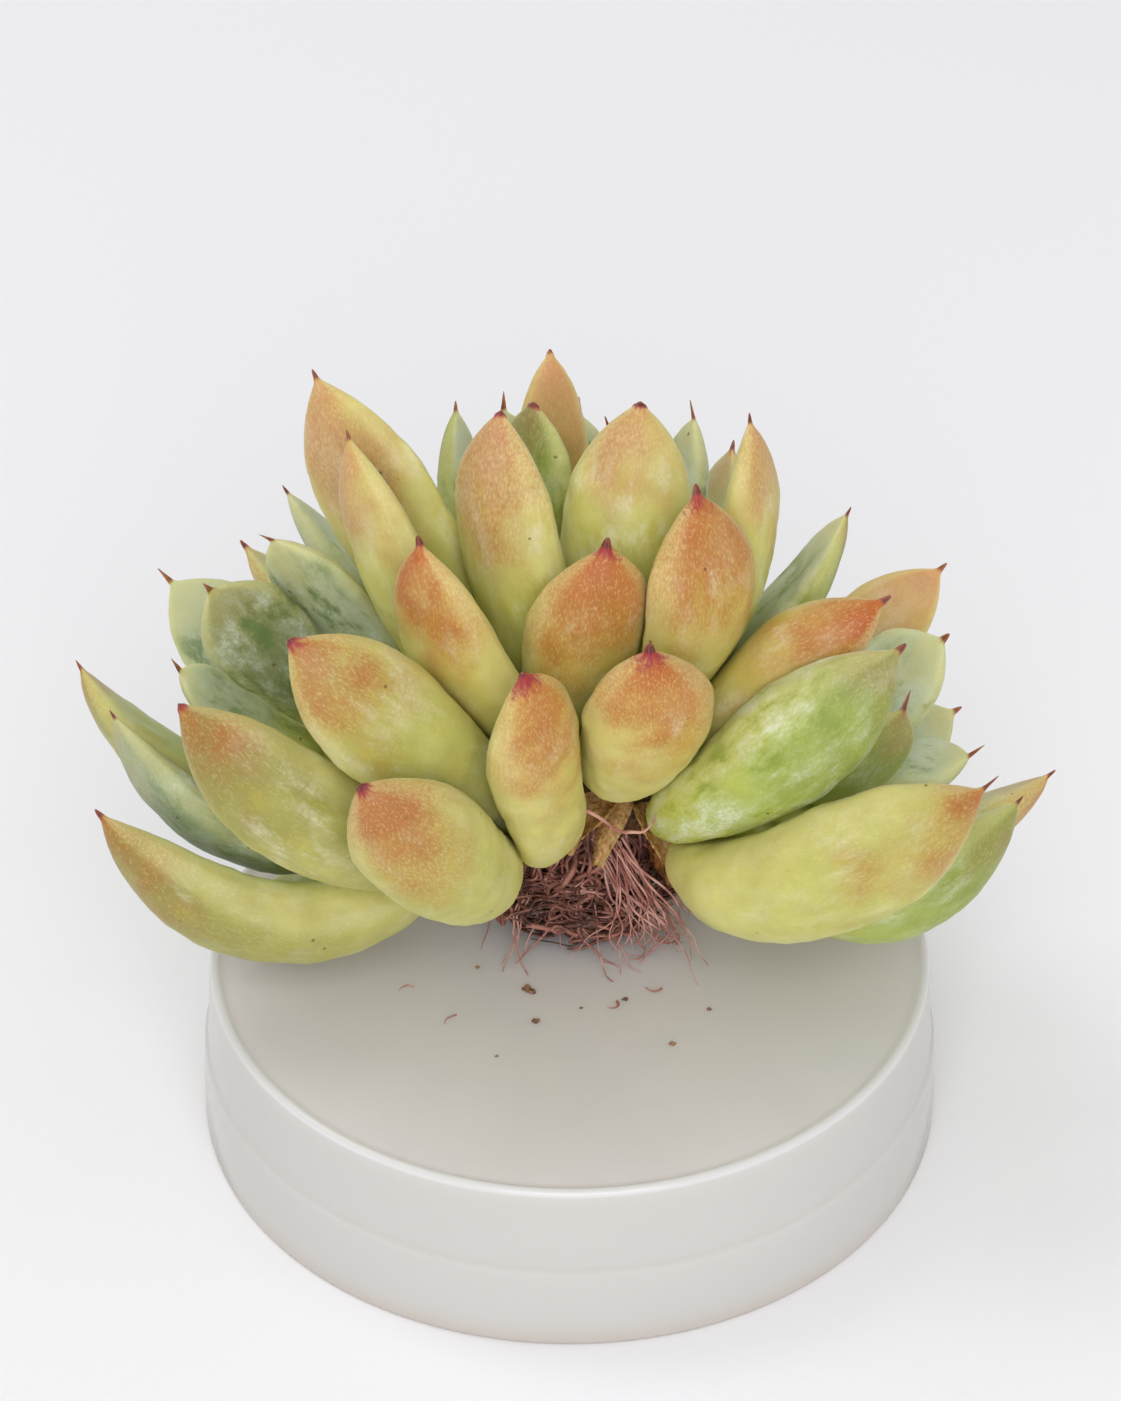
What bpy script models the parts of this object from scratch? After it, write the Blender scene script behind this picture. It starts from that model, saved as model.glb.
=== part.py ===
"""A bare-rooted rosette succulent with four heads, standing on its roots on a round milky stand.

Frame: +Z up, the origin at the centre of the stand's foot, the front of the plant towards -Y.
Sizes are millimetres in the tables and are turned into metres by MM.
Leaf tips and stem ends are measured from the foot of the stem, above the middle of the stand.
"""

import math

import bmesh
import bpy
from mathutils import Vector
from mathutils.bvhtree import BVHTree

MM = 0.001
CLEARANCE = 0.3 * MM  # between pieces that touch

# The stand: a solid milky disc with a low step round its wall and a bead round its top.
STAND_TOP_RADIUS = 37.2 * MM
STAND_FLARE = 1.4 * MM  # how much wider the foot is
STAND_HEIGHT = 18.6 * MM
STAND_STEP_HEIGHT = 9.4 * MM  # where the wall steps out by STAND_STEP
STAND_STEP = 0.35 * MM
STAND_BEAD_WIDTH = 1.3 * MM
STAND_BEAD_HEIGHT = 0.45 * MM
STAND_SIDES = 60

# The root ball, and the stem that forks above it into one arm for each head.
ROOT_CENTRE = Vector((0.8, 7.4)) * MM
ROOT_RADIUS_X = 9.8 * MM
ROOT_RADIUS_Y = 9.0 * MM
ROOT_HEIGHT = 8.0 * MM
ROOT_SQUARENESS = 0.4
STEM_FOOT = Vector((1.5, 5.0)) * MM
STEM_RADIUS = 3.4 * MM
STEM_TIP_RADIUS = 1.6 * MM
STEM_FOOT_RADIUS = 4.2 * MM
STEM_FORK_HEIGHT = 6.0 * MM  # above the foot of the stem
TRUNK_OVERRUN = 0.3  # of the trunk's height, into the arms
ARM_PIECES = 5
PLANT_BASE = STAND_HEIGHT + ROOT_HEIGHT + 2 * CLEARANCE

# A leaf: share of its length, of its full width and of its full thickness.
LEAF_SECTIONS = (
    (0.03, 0.50, 0.55),
    (0.12, 0.74, 0.85),
    (0.27, 0.88, 1.00),
    (0.43, 0.95, 1.00),
    (0.58, 1.00, 0.97),
    (0.72, 0.98, 0.87),
    (0.84, 0.82, 0.67),
    (0.93, 0.48, 0.42),
    (0.98, 0.17, 0.18),
)
LEAF_SIDES = 12
FRONT = Vector((0, -1, 0))
OUTER_SHARE = 0.62  # of the thickness lies on the rounded underside
INNER_FLATNESS = 0.75
END_STAND_OFF = 0.5  # of the usual distance from the arm's middle line, for a leaf on its very end

# How leaves grow in among each other, each giving way where another is in its room.
PRESS_GAP = 0.45 * MM
PRESS_REACH = 2.0 * MM
INSIDE = -0.95  # a point is inside a skin when the way to it from the skin runs this much against the normal
SPROUT = 0.12
GROWTH_STEPS = 36
SETTLE_STEPS = 34
SHIFT_SHARE = 0.45
DENT_SHARE = 0.5
STIFFNESS = 0.35

# Each head: the bend and the end of its arm of the stem, the point that the inner faces of its
# leaves look at, and its leaves as
# (place along the arm, tip, width, thickness, bow, degrees turned to the front, finish).
HEADS = {
    "left": (
        ((-11, 5, 1.7), (-24, 7, 12.4), (-32, -1, 33.4)),
        (
            (0.56, (-46, -8, 14.9), 12.0, 8.0, 18.5, 45, "blush"),
            (0.66, (-33, -1, -5.6), 11.0, 5.0, 3.0, 0, "green"),
            (0.48, (-37.4, -10, 30), 12.5, 7.5, 17.0, 40, "blush"),
            (0.20, (-26.4, -12, 39), 13.5, 7.5, 8.0, 10, "blush"),
            (0.42, (-19.6, -22.5, 29.8), 13.0, 9.3, 9.0, 10, "blush"),
            (0.84, (-35.3, 4, 33.8), 10.5, 4.5, 4.0, 0, "glaucous"),
            (0.72, (-29.3, 8, 37), 10.5, 4.5, 4.5, 0, "glaucous"),
            (0.85, (-41.2, 22, 22.4), 11.0, 5.0, 5.0, 0, "glaucous"),
            (0.84, (-49.2, 8, 21.4), 11.0, 5.5, 11.0, 50, "blush"),
            (0.72, (-44.8, -2, 22.6), 11.0, 5.5, 12.0, 40, "glaucous"),
            (1.00, (-39, 5, 23.4), 6.5, 3.4, 2.5, 0, "glaucous"),
            (0.70, (-34, 25, 2.4), 10.5, 6.0, 6.0, 0, "green"),
            (0.22, (-4.4, -16.5, 38.2), 11.5, 6.5, 5.0, 25, "blush"),
        ),
    ),
    "centre": (
        ((2, 8, 15.4), (3, 15, 27.4), (1, 15, 51.4)),
        (
            (0.38, (7.3, -14, 39.2), 13.5, 8.0, 7.0, 0, "blush"),
            (0.40, (27.4, 12, 37.3), 11.8, 5.0, 4.5, 0, "green"),
            (0.40, (4, -4, 44.2), 13.5, 7.0, 5.0, 0, "blush"),
            (0.42, (11.8, 0, 47.6), 14.2, 7.0, 8.0, 0, "blush"),
            (0.50, (6.7, 8, 52.8), 12.5, 6.5, 4.5, 40, "blush"),
            (0.42, (-6.7, 6, 53.0), 12.5, 6.5, 7.5, 0, "blush"),
            (0.40, (17.4, 10, 49.2), 11.0, 6.0, 9.0, 10, "blush"),
            (0.75, (-3.6, 16, 47.9), 11.0, 4.5, 2.5, 60, "green"),
            (0.65, (-2, 24, 48.8), 7.2, 4.2, 3.0, 0, "blush"),
            (0.80, (12.3, 18, 44.8), 8.5, 4.0, 2.5, 0, "glaucous"),
            (1.00, (4, 18, 43.4), 5.5, 3.2, 1.2, 0, "glaucous"),
            (0.12, (-14.2, -6, 45.8), 12.5, 6.5, 5.5, 0, "blush"),
            (0.22, (-21.1, 4, 51.1), 10.0, 6.0, 7.0, 20, "blush"),
            (0.34, (-24.6, 13, 52.4), 14.0, 5.5, 5.0, 60, "blush"),
            (0.42, (-25.3, 18, 44.2), 9.5, 4.5, 3.5, 0, "glaucous"),
        ),
    ),
    "right": (
        ((14, 6.5, 2.4), (25, 8, 12.4), (34, 6, 29.4)),
        (
            (0.30, (30.1, -2, 36.3), 10.0, 7.0, 9.0, 0, "blush"),
            (0.36, (31.4, -6, 33.7), 12.0, 8.0, 13.0, 0, "green"),
            (0.42, (39.6, -13, 22), 14.0, 9.0, 18.0, 35, "blush"),
            (0.58, (44.5, -3, 12.7), 12.5, 7.5, 18.0, 40, "green"),
            (0.72, (49.1, 8, 7.9), 11.0, 6.0, 9.0, 40, "blush"),
            (0.88, (33, 0, 22.1), 9.0, 4.5, 4.5, 0, "green"),
            (0.75, (38.1, 14, 20.8), 10.5, 5.0, 4.5, 0, "glaucous"),
            (1.00, (40.5, 5, 12.7), 8.0, 4.0, 3.5, 0, "glaucous"),
            (0.60, (38.7, 26, 21.3), 9.5, 5.5, 5.5, 0, "blush"),
            (0.70, (41, 24, 4.4), 10.5, 6.0, 6.0, 0, "green"),
            (0.30, (11.7, 1.0, -0.1), 5.5, 2.2, 1.0, 40, "dry_leaf"),
        ),
    ),
    "rear": (
        ((2, 18, 9.4), (1, 25, 21.4), (1, 30, 43.4)),
        (
            (0.55, (-11.7, 32, 37.1), 10.0, 5.0, 4.5, 0, "glaucous"),
            (0.60, (16.9, 32, 32.4), 10.5, 5.0, 4.5, 0, "blush"),
            (0.45, (-29, 26, 30.8), 10.5, 5.0, 4.5, 0, "glaucous"),
            (0.35, (-34, 30, 21.4), 11.0, 6.0, 6.0, 0, "blush"),
            (0.40, (27, 33, 17.4), 11.0, 6.0, 6.0, 0, "blush"),
            (0.60, (-14, 42, 18.4), 11.5, 6.5, 6.5, 0, "blush"),
            (0.62, (14, 43, 17.4), 11.5, 6.5, 6.5, 0, "blush"),
            (0.42, (-1, 42, 3.4), 12.0, 7.0, 7.0, 0, "blush"),
            (0.80, (1, 46, 24.4), 11.0, 5.5, 5.0, 0, "green"),
            (0.90, (-7, 38, 33.4), 9.0, 4.5, 3.5, 0, "glaucous"),
            (0.90, (8, 38, 32.4), 9.0, 4.5, 3.5, 0, "green"),
            (1.00, (1, 34, 35.4), 6.0, 3.2, 1.5, 0, "glaucous"),
        ),
    ),
}

# Colour, roughness and transmission of each finish.
FINISHES = {
    "blush": ((0.80, 0.56, 0.20), 0.45),
    "green": ((0.50, 0.62, 0.16), 0.48),
    "glaucous": ((0.45, 0.60, 0.42), 0.60),
    "stem": ((0.30, 0.17, 0.07), 0.80),
    "roots": ((0.36, 0.18, 0.17), 0.85),
    "dry_leaf": ((0.50, 0.25, 0.09), 0.70),
    "stand": ((0.86, 0.84, 0.80), 0.30),
}


def clear_scene():
    for obj in list(bpy.data.objects):
        bpy.data.objects.remove(obj, do_unlink=True)


def make_collection(name):
    collection = bpy.data.collections.new(name)
    bpy.context.scene.collection.children.link(collection)
    return collection


def make_material(name):
    colour, roughness = FINISHES[name]
    material = bpy.data.materials.new(name)
    material.use_nodes = True
    shader = material.node_tree.nodes["Principled BSDF"]
    shader.inputs["Base Color"].default_value = (*colour, 1.0)
    shader.inputs["Roughness"].default_value = roughness
    shader.inputs["Metallic"].default_value = 0.0
    return material


def add_mesh(name, bm, finish, collection, origin=Vector()):
    """Turn a finished bmesh into an object whose own origin is at the given point."""
    bmesh.ops.translate(bm, verts=bm.verts, vec=-origin)
    mesh = bpy.data.meshes.new(name)
    bm.to_mesh(mesh)
    bm.free()
    mesh.shade_smooth()
    mesh.materials.append(MATERIALS[finish])
    obj = bpy.data.objects.new(name, mesh)
    obj.location = origin
    collection.objects.link(obj)
    return obj


def make_stand(collection):
    """One profile, from the middle of the top down the wall to the middle of the foot, turned round Z."""
    top = STAND_HEIGHT
    bead_in = STAND_TOP_RADIUS - STAND_BEAD_WIDTH
    step_radius = STAND_TOP_RADIUS + STAND_FLARE / 2
    foot_radius = STAND_TOP_RADIUS + STAND_FLARE
    profile = (
        (0.0, top),
        (bead_in, top),
        (bead_in + STAND_BEAD_WIDTH * 0.25, top + STAND_BEAD_HEIGHT),
        (STAND_TOP_RADIUS - STAND_BEAD_WIDTH * 0.35, top + STAND_BEAD_HEIGHT),
        (STAND_TOP_RADIUS, top - STAND_BEAD_HEIGHT),
        (step_radius, STAND_STEP_HEIGHT + STAND_STEP),
        (step_radius + STAND_STEP, STAND_STEP_HEIGHT - STAND_STEP),
        (foot_radius, STAND_BEAD_HEIGHT),
        (foot_radius - STAND_BEAD_HEIGHT, 0.0),
        (0.0, 0.0),
    )
    bm = bmesh.new()
    verts = [bm.verts.new((radius, 0.0, height)) for radius, height in profile]
    for first, second in zip(verts, verts[1:]):
        bm.edges.new((first, second))
    stand = add_mesh("stand", bm, "stand", collection)
    screw = stand.modifiers.new("turn", "SCREW")
    screw.steps = STAND_SIDES
    screw.render_steps = STAND_SIDES
    screw.use_merge_vertices = True
    screw.merge_threshold = 0.00001
    screw.use_smooth_shade = True
    return stand


def make_root_ball(collection):
    """The tangled roots as one lumpy cushion."""
    bm = bmesh.new()
    bmesh.ops.create_uvsphere(bm, u_segments=16, v_segments=10, radius=1.0)
    floor = STAND_HEIGHT + CLEARANCE
    for vert in bm.verts:
        x, y, z = vert.co
        around = math.atan2(y, x)
        lump = 1 + 0.07 * math.sin(3 * around + 4 * z) + 0.04 * math.sin(5 * around - 3 * z)
        fullness = max(math.hypot(x, y), 0.01) ** -ROOT_SQUARENESS
        vert.co = (
            ROOT_CENTRE.x + ROOT_RADIUS_X * lump * fullness * x,
            ROOT_CENTRE.y + ROOT_RADIUS_Y * lump * fullness * y,
            floor + ROOT_HEIGHT * (z + 1) / 2,
        )
    return add_mesh("root_ball", bm, "roots", collection, Vector((*ROOT_CENTRE, floor)))


def branch_mesh(name, points, radii, collection):
    """A tapering stem as a mesh with welded ends."""
    curve = bpy.data.curves.new(name, "CURVE")
    curve.dimensions = "3D"
    curve.bevel_depth = 1.0
    curve.bevel_resolution = 1
    curve.use_fill_caps = True
    spline = curve.splines.new("POLY")
    spline.points.add(len(points) - 1)
    for spot, place, radius in zip(spline.points, points, radii):
        spot.co = (*place, 1.0)
        spot.radius = radius
    source = bpy.data.objects.new(name, curve)
    collection.objects.link(source)
    bpy.context.view_layer.update()
    graph = bpy.context.evaluated_depsgraph_get()
    mesh = bpy.data.meshes.new_from_object(source.evaluated_get(graph))
    bm = bmesh.new()
    bm.from_mesh(mesh)
    bmesh.ops.remove_doubles(bm, verts=bm.verts, dist=0.01 * MM)
    bpy.data.objects.remove(source)
    return bm


def plant_point(place):
    """A place in the tables, in metres in the row's frame."""
    return Vector(place) * MM + Vector((0, 0, PLANT_BASE))


def curve_point(start, bend, end, along):
    """A point on the curve from start towards bend and on to end, and its direction there."""
    rest = 1 - along
    point = start * rest**2 + bend * 2 * rest * along + end * along**2
    heading = (bend - start) * rest + (end - bend) * along
    return point, heading.normalized()


def arm_point(head, along):
    """A point on the middle line of a head's arm of the stem, and its direction there."""
    fork = Vector((*STEM_FOOT, PLANT_BASE + STEM_FORK_HEIGHT))
    bend, end = (plant_point(place) for place in HEADS[head][0][:2])
    return curve_point(fork, bend, end, along)


def arm_radius(along):
    return STEM_RADIUS + (STEM_TIP_RADIUS - STEM_RADIUS) * along


def make_stem(collection, helpers):
    """A short trunk on the root ball that forks into one arm for each head."""
    foot = Vector((*STEM_FOOT, PLANT_BASE))
    fork = Vector((*STEM_FOOT, PLANT_BASE + STEM_FORK_HEIGHT))
    trunk = (foot, foot.lerp(fork, 1 + TRUNK_OVERRUN))
    bm = branch_mesh("trunk", trunk, (STEM_FOOT_RADIUS, STEM_RADIUS), helpers)
    stem = add_mesh("stem", bm, "stem", collection)
    for head in HEADS:
        shares = [k / ARM_PIECES for k in range(ARM_PIECES + 1)]
        points = [arm_point(head, along)[0] for along in shares]
        radii = [arm_radius(along) for along in shares]
        branch = add_mesh(f"{head}_arm", branch_mesh(f"{head}_arm", points, radii, helpers), "stem", helpers)
        branch.hide_render = True
        branch.display_type = "WIRE"
        join = stem.modifiers.new(head, "BOOLEAN")
        join.operation = "UNION"
        join.solver = "EXACT"
        join.object = branch
    return stem


def across(direction, axis):
    """The part of a direction that is square to an axis, at unit length."""
    axis = axis.normalized()
    return (direction - axis * direction.dot(axis)).normalized()


class Leaf:
    """One leaf: its line from stem to tip, which way its underside faces, and its skin."""

    def __init__(self, head, place, tip, width, thickness, bow, turned, finish):
        root, axis = arm_point(head, place)
        self.tip = plant_point(tip)
        eye = plant_point(HEADS[head][0][2])
        under = across(root.lerp(self.tip, 0.5) - eye, self.tip - root)
        side = across(across(self.tip - root, axis) + across(under, axis), axis)
        stand_off = END_STAND_OFF if place == 1.0 else 1.0
        self.base = root + side * (arm_radius(place) + CLEARANCE) * stand_off
        chord = (self.tip - self.base).normalized()
        under = across(self.base.lerp(self.tip, 0.5) - eye, chord)
        sideways = chord.cross(under)
        turn = math.copysign(math.radians(turned), sideways.dot(FRONT))
        self.under = under * math.cos(turn) + sideways * math.sin(turn)
        self.middle = (self.base + self.tip) / 2 + self.under * bow * MM
        self.width = width * MM
        self.thickness = thickness * MM
        self.finish = finish
        self.make_skin()

    def line(self, along):
        """The point on the leaf's middle line, and its direction there."""
        return curve_point(self.base, self.middle, self.tip, along)

    def skin_point(self, ring, around):
        """A point on the skin: ring 0 is the base, the last ring is the tip."""
        if ring == 0:
            return self.base.copy()
        if ring > len(LEAF_SECTIONS):
            return self.tip.copy()
        along, wide, thick = LEAF_SECTIONS[ring - 1]
        point, heading = self.line(along)
        under = across(self.under, heading)
        side = under.cross(heading)
        sideways, out = math.cos(around), math.sin(around)
        if out >= 0:
            depth = OUTER_SHARE * out
        else:
            depth = -(1 - OUTER_SHARE) * abs(out) ** INNER_FLATNESS
        return point + side * sideways * self.width * wide / 2 + under * depth * self.thickness * thick

    def make_skin(self):
        """A sphere drawn out into the leaf, so that the skin is one closed net of rings."""
        bm = bmesh.new()
        rings = len(LEAF_SECTIONS) + 1
        bmesh.ops.create_uvsphere(bm, u_segments=LEAF_SIDES, v_segments=rings, radius=1.0)
        self.ring_of = []
        self.middles = []
        self.full = []
        for vert in bm.verts:
            ring = round(math.acos(max(-1.0, min(1.0, -vert.co.z))) / math.pi * rings)
            along = (0.0, *(section[0] for section in LEAF_SECTIONS), 1.0)[ring]
            middle = self.line(along)[0]
            vert.co = self.skin_point(ring, math.atan2(vert.co.y, vert.co.x))
            self.ring_of.append(ring)
            self.middles.append(middle)
            self.full.append(vert.co - middle)
        bm.verts.index_update()
        self.rings = [[k for k, at in enumerate(self.ring_of) if at == ring] for ring in range(rings + 1)]
        self.faces = [[vert.index for vert in face.verts] for face in bm.faces]
        self.edges = [[vert.index for vert in edge.verts] for edge in bm.edges]
        self.beside = [[edge.other_vert(vert).index for edge in vert.link_edges] for vert in bm.verts]
        self.bends = [Vector() for _ in bm.verts]
        self.bm = bm
        self.set_size(SPROUT)

    def set_size(self, size):
        self.points = [
            middle + full * size + bend for middle, full, bend in zip(self.middles, self.full, self.bends)
        ]

    def probes(self, fine):
        """The corners of the skin and, when fine, the middles of its edges and faces."""
        found = [((k,), point) for k, point in enumerate(self.points)]
        if fine:
            for members in self.edges + self.faces:
                middle = sum((self.points[k] for k in members), Vector()) / len(members)
                found.append((members, middle))
        return found

    def give_way(self, pushes, stiffness):
        """Bend the leaf as a rod where its rings are pushed, dent it a little, and keep it smooth."""
        shifts = []
        for ring in self.rings:
            pressed = [pushes[k] for k in ring if pushes[k].length_squared > 0]
            shifts.append(sum(pressed, Vector()) / max(1, len(pressed)) * SHIFT_SHARE)
        for _ in range(2):
            ends = [shifts[0] * 0.5, *shifts, shifts[-1]]
            shifts = [(a + 2 * b + c) / 4 for a, b, c in zip(ends, ends[1:], ends[2:])]
        shifts[0] *= 0.3
        bends = [
            bend + push * DENT_SHARE + shifts[ring]
            for bend, push, ring in zip(self.bends, pushes, self.ring_of)
        ]
        self.bends = [
            bend * (1 - stiffness) + sum((bends[n] for n in near), Vector()) / len(near) * stiffness
            for bend, near in zip(bends, self.beside)
        ]

    def finish_mesh(self):
        for vert, point in zip(self.bm.verts, self.points):
            vert.co = point
        return self.bm


def corners(points, margin):
    low = [min(point[k] for point in points) - margin for k in range(3)]
    high = [max(point[k] for point in points) + margin for k in range(3)]
    return low, high


def boxes_meet(first, second):
    return all(first[0][k] < second[1][k] and second[0][k] < first[1][k] for k in range(3))


def push_out(probe, tree):
    """How far a point has to move so that it lies PRESS_GAP outside a closed skin."""
    place, normal, _, distance = tree.find_nearest(probe, PRESS_REACH)
    if place is None:
        return None
    if distance < 1e-7:
        return normal * PRESS_GAP
    away = (probe - place) / distance
    if away.dot(normal) < INSIDE:
        return -away * (PRESS_GAP + distance)
    if distance < PRESS_GAP:
        return away * (PRESS_GAP - distance)
    return None


def press_step(leaves, fixed, size, stiffness, fine):
    """Every leaf gives way a little wherever it is too near its neighbours or the stem."""
    trees = [BVHTree.FromPolygons(leaf.points, leaf.faces) for leaf in leaves]
    boxes = [corners(leaf.points, PRESS_GAP) for leaf in leaves]
    worst = 0.0
    moves = []
    for i, leaf in enumerate(leaves):
        others = [(trees[j], 0.5) for j in range(len(leaves)) if j != i and boxes_meet(boxes[i], boxes[j])]
        others += [(tree, 1.0) for tree, box in fixed if boxes_meet(boxes[i], box)]
        pushes = [Vector() for _ in leaf.points]
        counts = [0] * len(leaf.points)
        for tree, share in others:
            for members, probe in leaf.probes(fine):
                push = push_out(probe, tree)
                if push is None:
                    continue
                worst = max(worst, push.length)
                for k in members:
                    pushes[k] += push * share
                    counts[k] += 1
        moves.append([push / max(1, count) for push, count in zip(pushes, counts)])
    for leaf, pushes in zip(leaves, moves):
        leaf.give_way(pushes, stiffness)
        leaf.set_size(size)
    return worst


def press_leaves(leaves, solids):
    """Leaves grow from thin sprouts to full size, then settle until all of them are clear."""
    graph = bpy.context.evaluated_depsgraph_get()
    fixed = []
    for solid in solids:
        mesh = solid.evaluated_get(graph).to_mesh()
        points = [solid.matrix_world @ vert.co for vert in mesh.vertices]
        faces = [list(face.vertices) for face in mesh.polygons]
        fixed.append((BVHTree.FromPolygons(points, faces), corners(points, PRESS_GAP)))
    for step in range(GROWTH_STEPS):
        size = SPROUT + (1 - SPROUT) * (step + 1) / GROWTH_STEPS
        worst = press_step(leaves, fixed, size, STIFFNESS, False)
        if step % 6 == 5:
            print(f"grown to {size:.2f}: worst shortfall {worst / MM:.3f} mm")
    for step in range(SETTLE_STEPS):
        stiffness = STIFFNESS * (1 - step / SETTLE_STEPS)
        worst = press_step(leaves, fixed, 1.0, stiffness, True)
        if step % 6 == 5:
            print(f"settling {step + 1}: worst shortfall {worst / MM:.3f} mm")


clear_scene()
MATERIALS = {name: make_material(name) for name in FINISHES}
PLANT = make_collection("succulent_on_stand")
HELPERS = make_collection("helpers")
stand = make_stand(PLANT)
root_ball = make_root_ball(PLANT)
stem = make_stem(PLANT, HELPERS)
bpy.context.view_layer.update()

leaves = []
names = []
for head, (_, rows) in HEADS.items():
    for number, row in enumerate(rows, start=1):
        leaves.append(Leaf(head, *row))
        names.append("dry_leaf" if row[-1] == "dry_leaf" else f"{head}_leaf_{number:02d}")
press_leaves(leaves, (stem, root_ball, stand))
for name, leaf in zip(names, leaves):
    add_mesh(name, leaf.finish_mesh(), leaf.finish, PLANT, leaf.base)
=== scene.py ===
# %% [markdown]
# # A bare-root rosette succulent on a milky stand
#
# The plant has four rosettes of fat, waxy leaves on one forked stem, a tangle of fine roots
# under it, and a round milky disc that it rests on. The exact shapes were made first, as solids.
# Here they are loaded as a fixed frame, and each one gets its real skin: round leaves with a
# blush, a bloom and a red tip, single root threads, bark, and a polished stand.

# %% Load the frame
import math
import random

import bpy
import numpy as np
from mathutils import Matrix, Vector, noise


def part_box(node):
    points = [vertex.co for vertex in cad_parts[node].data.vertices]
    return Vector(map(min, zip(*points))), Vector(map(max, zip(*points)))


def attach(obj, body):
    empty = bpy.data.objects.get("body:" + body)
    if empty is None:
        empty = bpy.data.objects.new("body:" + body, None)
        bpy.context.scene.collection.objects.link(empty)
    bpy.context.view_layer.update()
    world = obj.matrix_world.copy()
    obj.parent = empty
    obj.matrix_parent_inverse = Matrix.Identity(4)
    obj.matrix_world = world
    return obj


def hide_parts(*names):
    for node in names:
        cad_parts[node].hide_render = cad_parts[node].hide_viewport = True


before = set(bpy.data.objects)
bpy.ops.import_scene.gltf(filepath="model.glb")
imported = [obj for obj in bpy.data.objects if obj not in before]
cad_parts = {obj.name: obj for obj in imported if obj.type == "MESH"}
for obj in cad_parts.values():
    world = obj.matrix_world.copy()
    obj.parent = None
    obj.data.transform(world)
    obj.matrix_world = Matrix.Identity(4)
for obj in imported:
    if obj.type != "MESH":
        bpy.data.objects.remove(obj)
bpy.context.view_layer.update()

MM = 0.001

# %% [markdown]
# ## Camera, floor and light
#
# The object is small, so a long lens from above and in front keeps its shape true. The floor is
# one pale matt sheet, and the light is what a white tent gives: a soft lamp overhead, a wider
# one in front, and a bright surround, so that every shadow is soft.

# %% Camera
bpy.ops.object.select_all(action="DESELECT")
TILT = math.radians(36)
AIM = Vector((-0.95, 0, 50.5)) * MM  # a little above the middle of the plant and its stand
DISTANCE = 384.65 * MM
away = Vector((0, -math.cos(TILT), math.sin(TILT)))
bpy.ops.object.camera_add(location=AIM + away * DISTANCE, rotation=(math.pi / 2 - TILT, 0, 0))
camera = bpy.context.object
camera.data.lens = 100
camera.data.sensor_width = 36
camera.data.clip_start = 0.01
bpy.context.scene.camera = camera
bpy.context.scene.view_settings.view_transform = "Standard"


# %% Helpers for materials
def tint(code):
    """A colour written as on a paint card, such as "C8A060", as the shader wants it."""
    parts = [int(code[i : i + 2], 16) / 255 for i in (0, 2, 4)]
    return tuple(p / 12.92 if p < 0.04045 else ((p + 0.055) / 1.055) ** 2.4 for p in parts) + (1.0,)


def new_finish(name):
    """An empty material, with its node tree and its main shader."""
    material = bpy.data.materials.new(name)
    material.use_nodes = True
    return material, material.node_tree, material.node_tree.nodes["Principled BSDF"]


def wire(tree, kind, inputs, **options):
    """Adds a node, sets its options, and fills its sockets with numbers or with other nodes."""
    made = tree.nodes.new("ShaderNode" + kind)
    for option, value in options.items():
        setattr(made, option, value)
    for socket, value in inputs.items():
        if isinstance(value, bpy.types.NodeSocket):
            tree.links.new(value, made.inputs[socket])
        else:
            made.inputs[socket].default_value = value
    return made


# %% Helpers for mixing
def blend(tree, share, under, over, way="MIX"):
    """Lays one colour over another by a share from 0 to 1."""
    mixed = wire(tree, "Mix", {0: share, 6: under, 7: over}, data_type="RGBA", blend_type=way)
    return mixed.outputs[2]


def between(tree, value, low, high, start=0.0, end=1.0):
    """Runs smoothly from start to end while value goes from low to high."""
    inputs = {"Value": value, "From Min": low, "From Max": high, "To Min": start, "To Max": end}
    return wire(tree, "MapRange", inputs, interpolation_type="SMOOTHSTEP").outputs[0]


def times(tree, first, second):
    """Multiplies two values."""
    return wire(tree, "Math", {0: first, 1: second}, operation="MULTIPLY").outputs[0]


# %% Helpers for patterns
def speckle(tree, place, scale, detail=3.0, roughness=0.55):
    """Cloudy noise, with so many lumps to the metre."""
    inputs = {"Vector": place, "Scale": scale, "Detail": detail, "Roughness": roughness}
    return wire(tree, "TexNoise", inputs).outputs[0]


def stretched(tree, place, scale):
    """A place with each axis scaled, which draws a pattern out along the axes with small scales."""
    return wire(tree, "Mapping", {"Vector": place, "Scale": scale}).outputs[0]


def stored(tree, name):
    """A value that was painted on the mesh."""
    return wire(tree, "Attribute", {}, attribute_name=name)


def object_place(tree):
    """The place on the piece, in metres."""
    return wire(tree, "TexCoord", {}).outputs["Object"]


def bumps(tree, height, depth, strength=1.0):
    """Raises the surface by height times depth, in metres."""
    inputs = {"Height": height, "Distance": depth, "Strength": strength}
    return wire(tree, "Bump", inputs).outputs[0]


def join(tree, output, shader, socket):
    """Wires an output into a socket of the main shader."""
    tree.links.new(output, shader.inputs[socket])


# %% Floor
def only(piece):
    """Selects one piece and nothing else."""
    bpy.ops.object.select_all(action="DESELECT")
    piece.select_set(True)
    bpy.context.view_layer.objects.active = piece


bpy.ops.object.select_all(action="DESELECT")
bpy.ops.mesh.primitive_plane_add(size=6)
floor = bpy.context.object
floor.name = "floor"
paper, tree, shader = new_finish("floor_paper")
grain = speckle(tree, object_place(tree), 900)
join(tree, blend(tree, grain, tint("F6F6F8"), tint("F4F4F7")), shader, "Base Color")
shader.inputs["Roughness"].default_value = 0.85
floor.data.materials.append(paper)


# %% Lamps
PLANT = Vector((0, 0, 40)) * MM  # what the lamps face


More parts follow.
